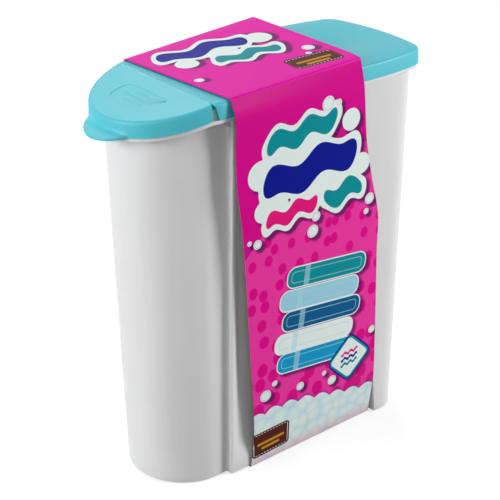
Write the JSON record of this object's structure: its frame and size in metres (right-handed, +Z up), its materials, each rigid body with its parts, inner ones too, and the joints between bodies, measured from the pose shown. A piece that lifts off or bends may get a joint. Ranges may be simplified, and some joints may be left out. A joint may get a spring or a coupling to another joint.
{
  "type": "laundry powder dispenser",
  "caption": "Tall powder tub with a round pouring end, push-on lid with a hinged pour flap and thumb tab, dosing plate and printed card sleeve.",
  "frame": {"origin": "on the floor, under the middle of the lid", "axes": "+Z up, the pouring end and its flap point to -X, the broad sides face -Y and +Y"},
  "size_m": [0.1871, 0.0856, 0.2291],
  "materials": {
    "tub_plastic": "satin polypropylene, milky white",
    "lid_plastic": "satin-gloss polypropylene, turquoise",
    "printed_card": "coated card, printed, satin"
  },
  "bodies": {
    "tub": {"container": "tub_plastic", "lid": "lid_plastic", "dosing_plate": "lid_plastic", "card_sleeve": "printed_card"},
    "flap": {"pour_flap": "lid_plastic"}
  },
  "joints": [
    {"name": "flap_hinge", "type": "hinge", "parent": "tub", "child": "flap", "pos_m": [-0.0546, 0, 0.22], "axis": [0, 1, 0], "range_deg": [0, 110]}
  ]
}
